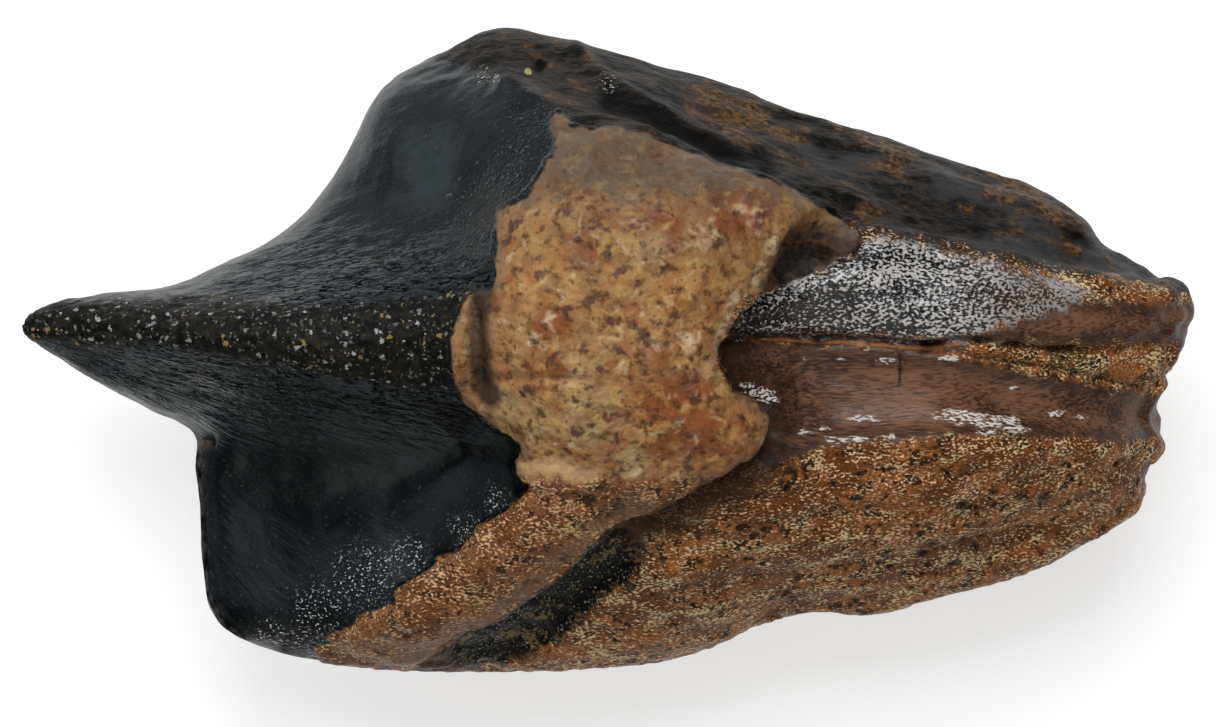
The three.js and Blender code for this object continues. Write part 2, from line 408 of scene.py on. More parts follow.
# All in millimetres
WALL_FOOT_DEPTH = 0.40
WALL_CREASE_HEIGHT = 0.28
MARGIN_HEIGHT = 0.25
TAIL_HOLLOW_DEPTH = 0.7
BREAK_BUMPS = 0.40
NOTCH_DEPTH = 0.55
HOLE_DEPTH = 0.35
ROOT_GRAIN = 0.08
ROOT_SWELLS = 0.10
WALL_FLAKES = 0.06
WALL_SWELLS = 0.07
HOLLOW_GRAIN = 0.14

lift += lower_root * ROOT_GRAIN * lumps(spots, 0.55, octaves=3, shift=2.0)
lift += lower_root * ROOT_SWELLS * lumps(spots, 1.7, stretch=(3, 1, 1))
lift += on_wall * WALL_FLAKES * lumps(spots, 0.8, stretch=(4, 1, 1), shift=9.0)
lift += on_wall * WALL_SWELLS * lumps(spots, 2.0, stretch=(3, 1, 1))
lift -= WALL_FOOT_DEPTH * hump(along(spots, WALL_FOOT)[0], 0.45) * (1 - on_crust) * up
lift += WALL_CREASE_HEIGHT * hump(along(spots, WALL_CREASE)[0], 0.35) * up
lift += MARGIN_HEIGHT * hump(along(spots, UPPER_MARGIN)[0], 0.45) * (1 - on_crust) * up
lift += in_hollow * (-TAIL_HOLLOW_DEPTH + HOLLOW_GRAIN * lumps(spots, 0.6, octaves=3, shift=4.0))
lift += on_break * BREAK_BUMPS * lumps(spots, 1.5, octaves=2, shift=6.0)
lift -= NOTCH_DEPTH * patches(spots, NOTCH) + HOLE_DEPTH * patches(spots, HOLES) * up
print("strokes run from", lift.min().round(2), "to", lift.max().round(2), "mm")

# %% Carve the enamel
BESIDE_KEEL = (-5.8, -2)  # minus the mm from the keel's middle, where wrinkles start and are full
WRINKLE_LENGTH = 2.4  # mm
WRINKLE_ANGLE = 0.05  # radians from one wrinkle to the next
WRINKLE_DROP = 2.0  # mm down the crown's side

# Heights, all in millimetres
KEEL_GRAIN = 0.06
KEEL_SWELLS = 0.05
WRINKLES = 0.02
KEEL_WRINKLES = 0.06  # what the wrinkles gain beside the keel
ENAMEL_SWELLS = 0.06

on_keel = ease(areas["keel"], -0.2, 0.5) * on_enamel
lift += on_keel * KEEL_GRAIN * lumps(spots, 0.4, octaves=2)
lift += on_keel * KEEL_SWELLS * lumps(spots, 1.2)
angle = np.arctan2(y - FAN_APEX[1], x - FAN_APEX[0])
fan_place = np.column_stack([areas["fan"] / WRINKLE_LENGTH, angle / WRINKLE_ANGLE, z / WRINKLE_DROP])
wrinkles = lumps(fan_place, 1.0, octaves=2)
beside_keel = ease(-np.abs(y - KEEL_Y), *BESIDE_KEEL)
lift += on_enamel * up * (WRINKLES + KEEL_WRINKLES * beside_keel) * wrinkles
lift += on_enamel * up * ENAMEL_SWELLS * lumps(spots, 1.6, stretch=(1, 1.6, 1), octaves=3, shift=15.0)
print("wrinkles are up to", wrinkles.max().round(2), "of their height")

# %% Pits in the skin
PIT_SEED = 4
NECK_PITS = (150, 0.14, 0.36)  # how many, and their smallest and largest size in mm
ROOT_PITS = (420, 0.08, 0.24)
NECK_PIT_DEPTH = 0.12  # mm
ROOT_PIT_DEPTH = 0.10


def pits(spots, centres, sizes):
    """How deep each corner lies in the nearest of some ragged pits, from 0 to 1."""
    depth = np.zeros(len(spots))
    uneven = 1 + 0.5 * lumps(spots, 0.35, octaves=2)
    for centre, size in zip(centres, sizes):
        away = np.sqrt(((spots - centre) ** 2).sum(axis=1)) * uneven
        depth = np.maximum(depth, 1 - away / size)
    return np.clip(depth, 0, 1)


def scattered(rng, share, count, smallest, largest):
    """Random corners to put pits on, drawn by each corner's share, and the pits' sizes."""
    picks = rng.choice(len(spots), count, replace=False, p=share / share.sum())
    return spots[picks], smallest * (largest / smallest) ** rng.random(count)


rng = np.random.default_rng(PIT_SEED)
neck_pits = scattered(rng, ease(crust, 0.2, 0.5), *NECK_PITS)
root_pits = scattered(rng, lower_root * up * ease(lumps(spots, 1.5, shift=3.3), -0.1, 0.5), *ROOT_PITS)
lift -= NECK_PIT_DEPTH * pits(spots, *neck_pits) + ROOT_PIT_DEPTH * pits(spots, *root_pits)
print("pits", len(neck_pits[1]) + len(root_pits[1]))

# %% Lay the strokes on the blank
TRIANGLES = 190_000  # what the finished mesh may hold

lift *= ease(z, 0.02, 0.8)  # the facet that the tooth lies on stays flat
carved = spots + facing * lift[:, None]
carved = evened(carved, edges, 1)
carved[:, 2] = np.maximum(carved[:, 2], 0)
tooth.data.vertices.foreach_set("co", carved.astype(np.float32).ravel())
tooth.data.update()
with_modifier(tooth, "TRIANGULATE")
with_modifier(tooth, "DECIMATE", ratio=min(1, TRIANGLES / len(tooth.data.polygons)))
tooth.data.shade_smooth()
print("carved tooth has", len(tooth.data.polygons), "triangles")

# %% [markdown]
# ## Marks that are only painted
# Stains, glints and stuck grains have no depth to carve. They are drawn on the same map, as lines or
# as round patches with a middle and a size. Only the few that catch the eye are listed one by one. The
# rest of the speckle comes from noise in the material.

# %% Stains and lines
ENAMEL_CRACK = [(-8.6, 5.3), (-8.7, 5.0), (-8.8, 4.8), (-8.5, 4.6), (-8.2, 4.5)]
ROOT_STRANDS = [(11.0, 5.3), (14.0, 4.8), (17.2, 4.3), (20.8, 3.7)]
TAIL_LIP = [(2.0, -6.6), (-0.3, -7.6), (-2.8, -9.8), (-4.9, -11.4), (-7.0, -12.7), (-9.3, -13.6)]
END_BLOCK = [
    (15.0, 0.4), (17.0, 1.1), (19.0, 1.9), (20.4, 2.2), (23.0, 2.1), (26.0, 2.0), (26.0, 0.3), (22.6, 0.2),
    (18.4, 0.2),
]

# Patches seen from above: x, y and size in millimetres
AMBER = [(-2.8, 4.2, 1.8), (-3.0, 2.6, 1.2), (0.6, 3.9, 1.3), (3.0, 2.4, 1.6)]
ORANGE = [(5.4, 5.9, 1.6), (3.0, -2.8, 2.4), (-2.3, 1.1, 1.2), (4.6, -3.9, 1.6), (2.4, 5.0, 1.2)]
OLIVE = [(-1.5, -2.9, 2.4), (-3.4, -2.4, 1.5), (1.0, -4.6, 1.2), (2.0, 4.4, 0.9)]
RUST = [
    (4.6, 10.7, 0.9), (6.2, 10.1, 1.1), (7.7, 9.4, 0.8), (11.6, 9.3, 0.7), (12.6, 8.3, 0.9),
    (18.4, 7.0, 1.6), (20.3, 5.9, 1.0),
]
print("stains are", len(AMBER + ORANGE + OLIVE + RUST), "patches")

# %% Glints and grains
SPARKLE = [
    (-10.5, -9.8, 1.5), (-8.5, -9.0, 1.0), (-12.5, -11.2, 1.2), (-6.0, -7.8, 0.8), (-4.8, -6.4, 0.6),
    (-13.0, -12.4, 1.0), (-14.6, -12.4, 0.8), (-5.4, 12.0, 0.4), (-4.8, 11.8, 0.3), (0.0, 11.6, 0.5),
]
GLINTS = [
    (8.6, -3.55, 0.10), (10.0, -3.9, 0.14), (10.9, -3.85, 0.12), (12.2, -3.75, 0.10), (9.4, -3.4, 0.08),
    (11.0, -2.95, 0.15), (11.9, -3.15, 0.10), (14.9, -2.75, 0.20), (15.8, -3.0, 0.28), (16.8, -3.1, 0.28),
    (17.8, -3.45, 0.14), (16.4, -3.55, 0.12), (19.6, -2.75, 0.13), (20.6, -2.9, 0.07), (12.0, -0.45, 0.11),
    (14.8, -0.35, 0.13), (8.4, -0.4, 0.07), (10.2, -0.35, 0.06), (17.6, -1.7, 0.06), (6.6, -1.85, 0.18),
    (7.0, -2.15, 0.12), (6.0, -1.5, 0.10),
]
POCKET = [(19.6, -0.3, 0.8), (21.0, -0.7, 0.8)]
YELLOW_GRAIN = [(-3.4, 12.1, 0.16)]
print("glints are", len(GLINTS), "patches")

# %% [markdown]
# ## Fields to paint by
# The material needs to know where each area is, how hollow the skin is there, and where the pits are.
# These go onto the finished mesh as named attributes. A distance is better than a painted mask: the
# shader can add noise to it and cut it off sharply, so an edge stays crisp at any size.

# %% Measure the finished skin
edges = edges_of(tooth.data)
spots = corners_of(tooth.data)
facing = normals_of(tooth.data)
broad_facing = evened(facing, edges, 12)
fields = areas_of(spots, broad_facing)
fine_hollow = ((evened(spots, edges, 4) - spots) * facing).sum(axis=1)
fields["fine_hollow"] = fine_hollow
fields["neck_pits"] = pits(spots, *neck_pits)
fields["root_pits"] = pits(spots, *root_pits)
fields["worn"] = ease(-facing[:, 2], 0.9, 0.98) * ease(-spots[:, 2], -0.15, -0.02)
fields["broad"] = lumps(spots, 2.4, octaves=3, shift=8.0)
fields["streaks"] = lumps(spots, 0.9, (6, 1, 1), octaves=3, shift=12.0)
fields["point_hollow"] = within(spots, POINT_HOLLOW) * fields["up"]
fields["ledge"] = within(spots, LEDGE) * fields["up"]
print("hollows are about", fine_hollow.std().round(4), "mm deep")

# %% Find the marks on it
PAINTED_LINES = {
    "knob_crease": KNOB_CREASE, "wall_foot": WALL_FOOT, "pale_edge": PALE_EDGE, "seam": ROOT_CRACK[:4],
    "strands": ROOT_STRANDS, "lip": TAIL_LIP, "enamel_crack": ENAMEL_CRACK, "split": SPLIT,
}
PAINTED_PATCHES = {
    "amber": AMBER, "orange": ORANGE, "olive": OLIVE, "rust": RUST, "sparkle": SPARKLE, "glints": GLINTS,
    "pocket": POCKET, "holes": HOLES, "yellow_grain": YELLOW_GRAIN,
}
STRETCHED = {"rust": 1.3, "glints": 4}  # patches that are longer than wide
BELOW = 3  # mm, what puts a line out of reach on the underside
for name, line in PAINTED_LINES.items():
    fields[name] = along(spots, line)[0] + BELOW * (1 - fields["up"])
for name, middles in PAINTED_PATCHES.items():
    fields[name] = patches(spots, middles, STRETCHED.get(name, 1)) * fields["up"]
print("marks are", len(PAINTED_LINES), "lines and", len(PAINTED_PATCHES), "groups of patches")

# %% Write the fields onto the mesh
SEAM_BORDER = 0.45  # mm of smooth stone on both sides of the root's seam

smooth_end = within(spots, END_BLOCK) * fields["up"]
fields["smooth"] = np.maximum(np.maximum(fields["channel"], smooth_end), SEAM_BORDER - fields["seam"])
keel_away = np.abs(spots[:, 1] - KEEL_Y)
fields["wrinkled"] = ease(-keel_away, *BESIDE_KEEL) * ease(broad_facing[:, 2], 0.2, 0.6)
fields["level"] = broad_facing[:, 2]
fields["grained"] = np.minimum(fields["keel"], fields["enamel"])
beside_neck = (ease(fields["crust"], -3.2, -0.8) * ease(spots[:, 1], 2, 6) - 0.5) * fields["up"]
fields["gritty"] = np.minimum(np.maximum(beside_neck, fields["sparkle"] - 0.35), fields["enamel"])

NOT_PAINTED = ("up", "keel", "channel")  # only needed to work out the others
for name in NOT_PAINTED:
    del fields[name]
for name, values in fields.items():
    attribute = tooth.data.attributes.new(name, "FLOAT", "POINT")
    attribute.data.foreach_set("value", values.astype(np.float32))
tooth.data.transform(Matrix.Scale(MM, 4))
span = np.ptp(corners_of(tooth.data), axis=0)
print("mesh carries", len(fields), "fields and spans", span.round(4), "m")

# %% [markdown]
# ## Writing shader maths
# A material is a network of nodes. Drawing a long formula as boxes is slow to read, so one small class
# wraps a socket and lets the usual operators add the Math nodes. Every other kind of node comes
# from one method, which sets the node's options first and its sockets after.


# %% Sockets as numbers
class Wire:
    """A node's output. Arithmetic on wires adds Math nodes to the tree under work."""

    tree = None

    def __init__(self, socket):
        self.socket = socket

    @staticmethod
    def node(kind, settings=None, sockets=None, output=0):
        made = Wire.tree.nodes.new(kind)
        for name, value in (settings or {}).items():
            setattr(made, name, value)
        for name, value in (sockets or {}).items():
            if isinstance(value, Wire):
                Wire.tree.links.new(value.socket, made.inputs[name])
            else:
                made.inputs[name].default_value = value
        return Wire(made.outputs[output])

    @staticmethod
    def maths(operation, *values):
        return Wire.node("ShaderNodeMath", {"operation": operation}, dict(enumerate(values)))

    def __add__(self, other):
        return Wire.maths("ADD", self, other)

    def __sub__(self, other):
        return Wire.maths("SUBTRACT", self, other)

    def __rsub__(self, other):
        return Wire.maths("SUBTRACT", other, self)

    def __mul__(self, other):
        return Wire.maths("MULTIPLY", self, other)

    __radd__ = __add__
    __rmul__ = __mul__

    def __abs__(self):
        return Wire.maths("ABSOLUTE", self)

    def eased(self, low, high):
        """0 where this is below low, 1 above high, and a smooth rise between."""
        settings = {"interpolation_type": "SMOOTHSTEP"}
        return Wire.node("ShaderNodeMapRange", settings, {"Value": self, 1: low, 2: high})


print("wires add, subtract and multiply, and know abs() and eased()")


# %% Colours, fields and materials
def tint(red, green, blue):
    """A colour as a screen shows it, from 0 to 255, as the light that shaders work in."""
    channels = [v / 255 for v in (red, green, blue)]
    return (*(c / 12.92 if c < 0.04045 else ((c + 0.055) / 1.055) ** 2.4 for c in channels), 1)


def mix(share, first, second):
    """The first colour where share is 0, the second where it is 1."""
    return Wire.node("ShaderNodeMix", {"data_type": "RGBA"}, {0: share, 6: first, 7: second}, 2)


def field(name):
    """A number that the mesh carries."""
    return Wire.node("ShaderNodeAttribute", {"attribute_name": name}, output="Fac")


def new_material(name):
    """A node material with only an output, whose tree becomes the one under work."""
    material = bpy.data.materials.new(name)
    material.use_nodes = True
    Wire.tree = material.node_tree
    Wire.tree.nodes.remove(Wire.tree.nodes["Principled BSDF"])
    return material


def use_surface(shader):
    """Gives a finished shader to the material under work."""
    Wire.tree.links.new(shader.socket, Wire.tree.nodes["Material Output"].inputs["Surface"])


fossil = new_material("fossil_tooth")
print("new material", fossil.name)

# %% [markdown]
# ## Grains, clouds and fibres
# Stone is noise at several sizes. All textures read the tooth's own coordinates in millimetres, so a
# size written here is the real size of a grain. Fibres are the same clouds, stretched along the root,
# and the enamel's wrinkles are clouds in fan coordinates, which spread from the keel's tip.

# %% Texture helpers
FAN_OUT, FAN_ROUND, FAN_DOWN = 0.9, 60.0, 0.8  # wrinkles per mm outwards, per radian and per mm down

in_metres = Wire.node("ShaderNodeTexCoord", output="Object")
place = Wire.node("ShaderNodeVectorMath", {"operation": "SCALE"}, {0: in_metres, "Scale": 1 / MM})
place_x, place_y, place_z = (
    Wire.node("ShaderNodeSeparateXYZ", sockets={0: place}, output=axis) for axis in range(3)
)


def scaled(vector, size, stretch=(1, 1, 1)):
    """The place in units of a grain's size along each axis."""
    units = [1 / (size * s) for s in stretch]
    return Wire.node("ShaderNodeVectorMath", {"operation": "MULTIPLY"}, {0: vector, 1: units})


def clouds(size, stretch=(1, 1, 1), detail=2.0, at=place, rough=0.5, swirl=0.0):
    """Soft noise from 0 to 1, with lumps of that size in millimetres, drawn out by a swirl."""
    sockets = {
        "Vector": scaled(at, size, stretch), "Scale": 1.0, "Detail": detail, "Roughness": rough,
        "Distortion": swirl,
    }
    return Wire.node("ShaderNodeTexNoise", None, sockets)


def grains(size):
    """For cells of that size: the distance to a cell's middle, and a colour of its own for each cell."""
    sockets = {"Vector": scaled(place, size), "Scale": 1.0}
    nearest = Wire.node("ShaderNodeTexVoronoi", None, sockets)
    return nearest, Wire(nearest.socket.node.outputs["Color"])


def part_of(colour, index):
    """One channel of a colour, as a number."""
    return Wire.node("ShaderNodeSeparateColor", sockets={0: colour}, output=index)


fan_angle = Wire.maths("ARCTAN2", place_y - float(FAN_APEX[1]), place_x - float(FAN_APEX[0]))
fan_sockets = {0: field("fan") * FAN_OUT, 1: fan_angle * FAN_ROUND, 2: place_z * FAN_DOWN}
fan = Wire.node("ShaderNodeCombineXYZ", sockets=fan_sockets)
print("textures have", len(Wire.tree.nodes), "nodes to start from")

# %% [markdown]
# ## Finishes
# Each kind of surface gets a shader of its own, with its own colour, roughness and fine relief, and
# the shaders are mixed by area. That reads well, and it is quick: where a mix is all one shader, the
# other's textures are not worked out. A colour is a ground with tints laid over it in turn, stains and
# in places painted shade and highlights, and every crevice darkens it a little.

# %% A finish
APATITE = 1.6  # how strongly a tooth's mineral bends light
# the tint that darkens the colour in every fine hollow
HOLLOW_TINT = tint(20, 15, 12)

# how hollow the skin is there, which darkens the colour in every crevice
crevice = field("fine_hollow").eased(0.008, 0.06) * 0.7
ragged = clouds(0.6, detail=2) - 0.5
broad = field("broad")


def stains_and_painted_light(colour, *stains):
    """A colour with tints laid over it in turn, each a share and a tint: stains, and in places painted
    shade and highlights.
    """
    for share, shade in stains:
        colour = mix(share, colour, shade)
    return colour


def finish(colour, rough, relief, gloss=0.5, gleam=(1, 1, 1, 1)):
    """A surface from its colour, roughness, relief in millimetres, gloss and the gloss's tint."""
    bump = Wire.node("ShaderNodeBump", None, {"Height": relief, "Distance": MM})
    sockets = {
        "Base Color": mix(crevice, colour, HOLLOW_TINT),
        "Roughness": rough,
        "IOR": APATITE,
        "Specular IOR Level": gloss,
        "Specular Tint": gleam,
        "Normal": bump,
    }
    return Wire.node("ShaderNodeBsdfPrincipled", None, sockets)


print("hollow_tint is", [round(channel, 4) for channel in HOLLOW_TINT])

# %% [markdown]
# ## The enamel
# Fossil enamel is black and satin. Its colour hardly varies: what the eye sees is the sheen on a low
# relief of wrinkles, which is strongest beside the keel. A second, dull enamel is mixed into the
# creases and a crack as painted shade, and onto the steep rim as painted shade that keeps it from
# mirroring the floor. Grit clings beside the neck; its pale dots are partly grit and partly painted
# glints, and the bright flecks where the skin sparkles are painted glints. The keel itself is rough
# and dull, and sand grains are stuck in it, pale or yellow and of many sizes.

# %% Enamel
COOL = (0.82, 0.94, 1.0, 1)  # the enamel's gloss is a little blue
LOWER_HALF = -3.0  # mm, the y below which the crown's lower wing lies

wrinkle = clouds(1.0, at=fan, detail=2, rough=0.6)
wrinkled = field("wrinkled")
pebble = clouds(0.16, detail=1)
sparkle = (field("sparkle") + 0.6 * ragged).eased(0.2, 0.7)
enamel_colour = mix(broad.eased(-0.4, 0.5), tint(5, 6, 8), tint(10, 13, 15))
enamel_colour = mix(field("holes").eased(0.3, 0.8), enamel_colour, tint(72, 54, 40))
enamel_relief = (0.03 + 0.27 * wrinkled) * wrinkle + 0.008 * pebble
enamel = finish(enamel_colour, 0.22 + 0.05 * broad, enamel_relief, gloss=0.4, gleam=COOL)

# the dull enamel is painted shade: in the creases and the crack it stands in for their shadow, on the
# steep rim it keeps the rim dark instead of mirroring the floor
creases = (0.045 - abs(wrinkle - 0.47)).eased(0, 0.025) * wrinkled
crack = (0.1 - field("enamel_crack")).eased(0, 0.05)
low_side = (LOWER_HALF - place_y).eased(0, 1.5)
rim = (0.5 + 0.4 * low_side - field("level")).eased(0, 0.4) * (0.45 + 0.55 * low_side)
matt_as_shade = Wire.maths("MAXIMUM", Wire.maths("MAXIMUM", creases, crack), rim)
dull = finish(enamel_colour, 0.7, 0.05 * pebble, gloss=0)
enamel = Wire.node("ShaderNodeMixShader", None, {0: matt_as_shade, 1: enamel, 2: dull})
print("with the enamel there are", len(Wire.tree.nodes), "nodes")


# %% Grit on the enamel
def painted_glints(size):
    """Bright specks painted where the map says that the skin sparkles: painted glints."""
    return clouds(size, stretch=(1.5, 1, 1), detail=1).eased(0.62, 0.68) * sparkle


grit = clouds(0.17, detail=1)
# pale dots: partly grit, partly painted glints
gritty_colour = mix(grit.eased(0.66, 0.72) * 0.5, tint(8, 9, 10), tint(120, 120, 116))
# painted glints in the sparkling patches
gritty_colour = mix(painted_glints(0.10), gritty_colour, tint(196, 198, 194))
gritty = finish(gritty_colour, 0.3, 0.06 * grit, gloss=0.25, gleam=COOL)
print("with the grit there are", len(Wire.tree.nodes), "nodes")

# %% Keel
grain_far, grain_kind = grains(0.31)
dust_far, dust_kind = grains(0.19)
uneven = clouds(0.12, detail=0) * 0.8 - 0.4
grain_here = (0.5 * part_of(grain_kind, 0).eased(0.22, 1.0) - grain_far + uneven).eased(0, 0.2)
dust_here = (0.55 * part_of(dust_kind, 0).eased(0.2, 1.0) - dust_far + uneven).eased(0, 0.25)
yellow = (part_of(grain_kind, 1) + 0.3 * broad).eased(0.74, 0.86)
keel_colour = stains_and_painted_light(
    mix(clouds(0.4, detail=2).eased(0.4, 0.7), tint(7, 7, 6), tint(36, 31, 20)),
    (dust_here * part_of(dust_kind, 1), tint(104, 106, 98)),
    (grain_here * part_of(grain_kind, 2), tint(168, 172, 168)),
    (grain_here * yellow, tint(146, 116, 66)),
)
keel_relief = 0.12 * clouds(0.3, detail=2) + 0.05 * grain_here + 0.03 * dust_here
keel = finish(keel_colour, 0.5, keel_relief, gloss=0.1)
print("with the keel there are", len(Wire.tree.nodes), "nodes")

# %% [markdown]
# ## The neck
# The tan crust is coloured by iron: amber and orange, with olive, grey and cream where other layers
# show, and dark specks in its pits. The patches on the map give each part of it a ground tint, and
# clouds of a few sizes lay soft blotches of the other tints over that. The grey along the top is partly
# painted sheen, and the knob's crease and the hollow at the right point hold painted shade.

# %% Neck's ground and blotches
GREY_TOP = 5.6  # mm, the y above which the neck turns grey
BLOTCHES = [
    # size in mm, cloud where it starts, how softly, strength, swirl, tint
    (1.7, 0.45, 0.24, 0.7, 0.5, tint(150, 80, 35)),
    (1.0, 0.49, 0.22, 0.75, 0.5, tint(196, 156, 90)),
    (0.8, 0.55, 0.22, 0.65, 0.5, tint(226, 204, 160)),
    (1.1, 0.50, 0.16, 0.4, 0, tint(104, 62, 34)),
    (0.62, 0.52, 0.16, 0.85, 0, tint(80, 49, 29)),
    (0.38, 0.55, 0.16, 0.65, 0, tint(60, 39, 26)),
]

# greyer along the top: partly the crust's own grey, partly painted sheen where the top faces the window
grey_top = (place_y - GREY_TOP + 3 * ragged).eased(0, 1.8)
neck_colour = stains_and_painted_light(
    mix(broad.eased(-0.3, 0.4), tint(160, 114, 69), tint(174, 133, 86)),
    ((field("amber") + ragged).eased(0.2, 0.9), tint(186, 136, 78)),
    ((field("orange") + ragged).eased(0.2, 0.9), tint(140, 80, 40)),
    ((field("olive") + ragged).eased(0.2, 0.9), tint(172, 141, 95)),
    (grey_top, tint(114, 98, 80)),
)
plain_end = 1 - 0.6 * grey_top
for size, low, soft, strength, swirl, shade in BLOTCHES:
    blotch = clouds(size, detail=2, rough=0.6, swirl=swirl).eased(low, low + soft)
    neck_colour = mix(blotch * plain_end * strength, neck_colour, shade)
print("neck has", len(BLOTCHES), "sizes of blotch")

# %% Neck's edges and pits
DARKER_TOP = 1.5  # mm, the y above which the neck slowly darkens
POINT_END = 9.4  # mm, the x where the neck's right point turns grey

mottle = clouds(0.5, detail=2, rough=0.55)
point = field("point_hollow")
pale_edge = (0.34 - field("pale_edge") + 0.6 * ragged).eased(0, 0.25) * mottle.eased(0.36, 0.6)
neck_colour = stains_and_painted_light(
    neck_colour,
    ((place_y - DARKER_TOP + ragged).eased(0, 4) * 0.28, tint(74, 46, 26)),
    ((0.6 - field("crust") + ragged).eased(0, 0.5) * 0.5, tint(118, 92, 70)),
    ((field("ledge") + ragged * 0.6).eased(0, 0.3) * 0.6, tint(192, 156, 110)),
    # painted shade in the knob's crease
    ((0.75 - field("knob_crease")).eased(0, 0.5) * 0.85, tint(48, 36, 26)),
    # painted shade in the hollow at the neck's right point, darkest in its middle
    ((point + ragged * 0.9).eased(-0.1, 0.4) * 0.82, tint(66, 50, 36)),
    ((point + ragged * 2.0).eased(0.5, 0.9) * 0.9, tint(24, 18, 14)),
    (pale_edge, tint(200, 176, 136)),
    ((place_x - POINT_END + ragged).eased(0, 1.0) * 0.7, tint(92, 85, 80)),
    ((field("neck_pits") + 0.35 * ragged).eased(0.05, 0.45) * 0.85, tint(52, 35, 25)),
)
neck = finish(neck_colour, 0.55, 0.18 * mottle, gloss=0.2)
print("with the neck there are", len(Wire.tree.nodes), "nodes")

# %% [markdown]
# ## The root
# The root and the neck's tail are a coarse grain of tan, orange and near-black. The root's upper lobe
# is polished and wrinkled so finely that it glitters, the channel beside it is smooth and fibrous,
# and the wall along the top edge is dark with rusty patches. The lobe's glitter and the root's pale
# grains are partly painted highlights, the channel's glints and the wall's grey sheen are painted, and
# so is the shade under the neck, along the channel, in the split and at the wall's foot; the black of
# the hollow beside the tail is partly painted shadow.

# %% Root and tail
strands = (0.75 - field("strands") + 0.4 * ragged).eased(0, 0.3)
gold = (field("pocket") + ragged).eased(0.3, 0.8)


def grainy(size, dark, light, pale):
    """The colour and relief of a coarse stone: two ground tints, black spots and crowds of pale grains,
    partly painted glints.
    """
    pale_grain = clouds(size, stretch=(1.6, 1, 1), detail=1)
    dark_grain = clouds(5 * size, detail=3, rough=0.7)
    zone = clouds(15 * size, stretch=(1.7, 1, 1), detail=1, rough=0.6)
    crowd = clouds(8 * size, stretch=(1.7, 1, 1), detail=1)
    colour = stains_and_painted_light(
        mix((zone - 0.2 * broad).eased(0.36, 0.62), dark, light),
        (crowd.eased(0.56, 0.68) * 0.5, tint(140, 120, 76)),
        (strands * field("streaks").eased(-0.5, 0.2) * 0.85, tint(52, 43, 31)),
        (gold, tint(116, 91, 54)),
        ((dark_grain + 0.3 * (zone - 0.5)).eased(0.54, 0.62) * 0.9, tint(38, 26, 17)),
        ((1 - pale_grain).eased(0.55, 0.66) * 0.6, tint(56, 35, 21)),
        # pale grains, which also stand in for painted glints
        ((pale_grain + 0.40 * (crowd - 0.5)).eased(0.56, 0.65) * 0.85, pale),
        ((field("root_pits") + ragged).eased(0.08, 0.35) * 0.85, tint(26, 20, 15)),
    )
    return colour, 0.09 * pale_grain - 0.14 * dark_grain


root_colour, root_relief = grainy(0.100, tint(112, 66, 33), tint(160, 102, 56), tint(236, 206, 162))
# painted shade on the root just below the neck
shade_under_neck = (field("crust") + 2.0 + ragged).eased(0, 1.2) * low_side * 0.85
root = finish(mix(shade_under_neck, root_colour, tint(50, 34, 24)), 0.34, root_relief, gloss=0.05)
tail_colour, tail_relief = grainy(0.104, tint(112, 70, 42), tint(148, 98, 62), tint(226, 184, 134))
grey_lip = (0.5 - field("lip") + 0.9 * ragged).eased(0, 0.4) * 0.65
tail = finish(mix(grey_lip, tail_colour, tint(116, 88, 68)), 0.4, tail_relief, gloss=0.1)
print("with root and tail there are", len(Wire.tree.nodes), "nodes")

# %% Channel
fibre = clouds(0.11, stretch=(6, 1, 1), detail=3)
ripple = clouds(0.09, stretch=(3.5, 1, 1), detail=1)
glint = (field("glints") + 0.9 * (fibre - 0.5)).eased(0.3, 0.5) * ripple.eased(0.42, 0.56)
fibres_shown = (fibre + 0.2 * field("streaks")).eased(0.32, 0.66)
channel_colour = stains_and_painted_light(
    mix(fibres_shown, tint(62, 37, 25), tint(126, 87, 63)),
    # painted shade along the channel's edges and beside the seam
    ((1.0 - field("smooth") + ragged).eased(0.1, 0.9) * 0.7, tint(46, 28, 19)),
    # painted shadow of the neck over the channel's end
    ((field("crust") + 2.4 + 2 * ragged).eased(0, 2) * 0.8, tint(30, 19, 13)),
    ((0.13 - field("seam")).eased(0, 0.08) * 0.85, tint(168, 104, 50)),
    # painted shade in the split
    ((0.10 - field("split")).eased(0, 0.06), tint(20, 13, 9)),
    # painted glints
    (glint, tint(222, 216, 208)),
)
channel = finish(channel_colour, 0.42, 0.03 * fibre + 0.02 * ripple, gloss=0.25)
print("with the channel there are", len(Wire.tree.nodes), "nodes")

# %% Lobe
LOBE_MIDDLE = 12  # mm, the x about which its glitter thins out to the left and thickens to the right
LOBE_BROWNER = 14  # mm, the x where its ground starts to turn brown

lobe_wrinkles = clouds(0.115, stretch=(1.5, 1, 1), detail=1, rough=0.4)
shown = 0.10 * field("streaks") + 0.05 * broad + 0.10 * ragged + 0.010 * (place_x - LOBE_MIDDLE)
worms = (lobe_wrinkles + shown).eased(0.48, 0.62)
browner = (place_x - LOBE_BROWNER + 3 * ragged).eased(0, 5)
lobe_colour = mix(browner, tint(22, 18, 16), tint(70, 53, 42))
# the pale worms are partly pale mineral and partly painted glitter
lobe_colour = mix(worms * (1 - 0.35 * browner), lobe_colour, tint(194, 190, 187))
lobe = finish(lobe_colour, 0.2, 0.06 * lobe_wrinkles, gloss=0.5)
print("with the lobe there are", len(Wire.tree.nodes), "nodes")

# %% Wall
SHEEN_MIDDLE = 12  # mm, the x about which the wall's grey sheen grows to the right

